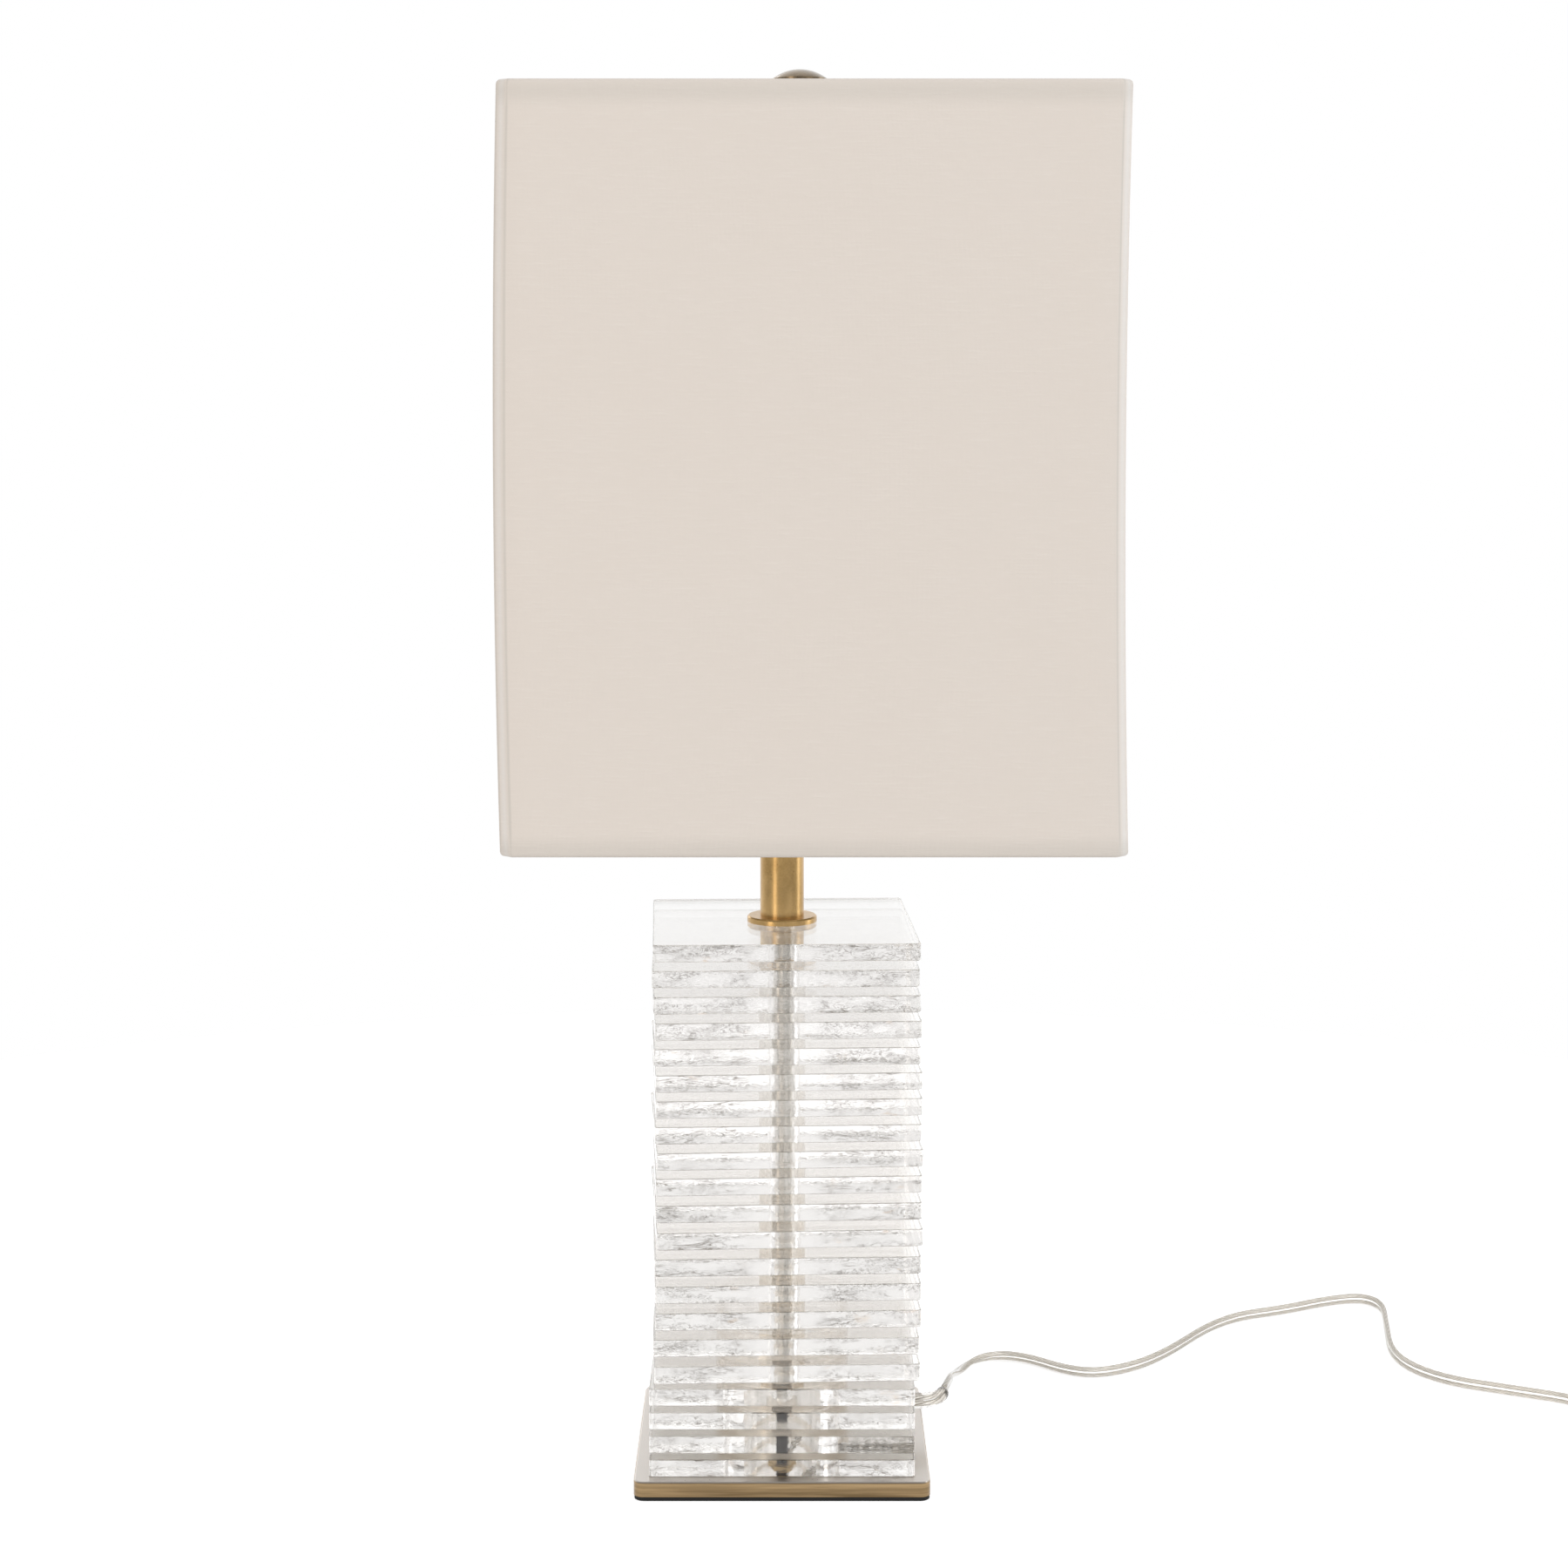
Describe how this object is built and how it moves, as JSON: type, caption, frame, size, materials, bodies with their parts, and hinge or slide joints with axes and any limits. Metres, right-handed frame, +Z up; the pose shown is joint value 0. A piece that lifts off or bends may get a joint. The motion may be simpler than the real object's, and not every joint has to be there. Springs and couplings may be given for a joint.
{
  "type": "table lamp",
  "caption": "Column table lamp: spaced clear glass plates on a square brass base, brass neck and a tall rectangular fabric shade, with a cord and plug.",
  "frame": {"origin": "on the surface that the lamp stands on, under the middle of the felt pad", "axes": "+Z up along the lamp's rod, +X to the right towards the side where the cord leaves, +Y to the back"},
  "size_m": [0.6587, 0.3484, 0.7095],
  "materials": {
    "clear_glass": "clear and polished, with rough cut edges",
    "clear_spacers": "clear",
    "aged_brass": "antique brass",
    "satin_brass": "brushed and lacquered",
    "brass_fittings": "plain",
    "dark_steel": "blackened",
    "steel": "plain",
    "felt": "black felt",
    "shade_fabric": "off-white woven cover",
    "shade_backing": "off-white sheet",
    "frame_wire": "white coated wire",
    "card": "plain",
    "black_plastic": "moulded",
    "bulb_metal": "plain",
    "frosted_glass": "frosted white",
    "clear_cord": "clear over silver-coloured wire"
  },
  "bodies": {
    "root": {"felt_pad": "felt", "base_plate": "aged_brass", "base_washer": "steel", "rod_nuts": "brass_fittings", "upper_spacers": "clear_spacers", "middle_spacers": "clear_spacers", "cavity_rings": "clear_spacers", "centre_rod": "dark_steel", "neck_flange": "satin_brass", "neck_tube": "satin_brass", "harp_saddle": "brass_fittings", "socket_cap": "brass_fittings", "socket_shell": "brass_fittings", "socket_liner": "card", "socket_body": "black_plastic", "terminal_screws": "brass_fittings", "screw_shell": "bulb_metal", "centre_contact": "brass_fittings", "strain_relief": "clear_cord", "inner_cord": "clear_cord", "cord": "clear_cord", "cord_coil": "clear_cord", "coil_tie": "black_plastic", "plug_body": "clear_cord", "plug_blades": "brass_fittings", "glass_plate_01": "clear_glass", "glass_plate_02": "clear_glass", "glass_plate_03": "clear_glass", "glass_plate_04": "clear_glass", "glass_plate_05": "clear_glass", "glass_plate_06": "clear_glass", "glass_plate_07": "clear_glass", "glass_plate_08": "clear_glass", "glass_plate_09": "clear_glass", "glass_plate_10": "clear_glass", "glass_plate_11": "clear_glass", "glass_plate_12": "clear_glass", "glass_plate_13": "clear_glass", "glass_plate_14": "clear_glass", "glass_plate_15": "clear_glass", "glass_plate_16": "clear_glass", "glass_plate_17": "clear_glass", "glass_plate_18": "clear_glass", "glass_plate_19": "clear_glass", "glass_plate_20": "clear_glass", "glass_plate_21": "clear_glass"},
    "harp": {"harp": "brass_fittings", "harp_stud": "brass_fittings"},
    "ferrule_left": {"ferrule_left": "brass_fittings"},
    "ferrule_right": {"ferrule_right": "brass_fittings"},
    "shade": {"shade_backing": "shade_backing", "shade_cover": "shade_fabric", "shade_top_frame": "frame_wire", "shade_bottom_ring": "frame_wire"},
    "finial": {"finial": "aged_brass"},
    "switch": {"switch_stem": "brass_fittings", "switch_knob": "black_plastic"},
    "bulb": {"bulb_glass": "frosted_glass", "bulb_cap": "bulb_metal"}
  },
  "joints": [
    {"name": "harp_lift", "type": "slide", "parent": "root", "child": "harp", "axis": [0, 0, 1], "range_m": [0, 0.02]},
    {"name": "ferrule_left_lift", "type": "slide", "parent": "harp", "child": "ferrule_left", "axis": [0, 0, 1], "range_m": [0, 0.012]},
    {"name": "ferrule_right_lift", "type": "slide", "parent": "harp", "child": "ferrule_right", "axis": [0, 0, 1], "range_m": [0, 0.012]},
    {"name": "shade_turn", "type": "hinge", "parent": "harp", "child": "shade", "pos_m": [0.009, 0, 0.6877], "axis": [0, 0, 1], "continuous": true},
    {"name": "finial_turn", "type": "hinge", "parent": "harp", "child": "finial", "pos_m": [0.009, 0, 0.6893], "axis": [0, 0, 1], "continuous": true},
    {"name": "switch_turn", "type": "hinge", "parent": "root", "child": "switch", "pos_m": [0, -0.009, 0.4122], "axis": [0, -1, 0], "continuous": true},
    {"name": "bulb_turn", "type": "hinge", "parent": "root", "child": "bulb", "pos_m": [0, 0, 0.4195], "axis": [0, 0, 1], "continuous": true}
  ]
}
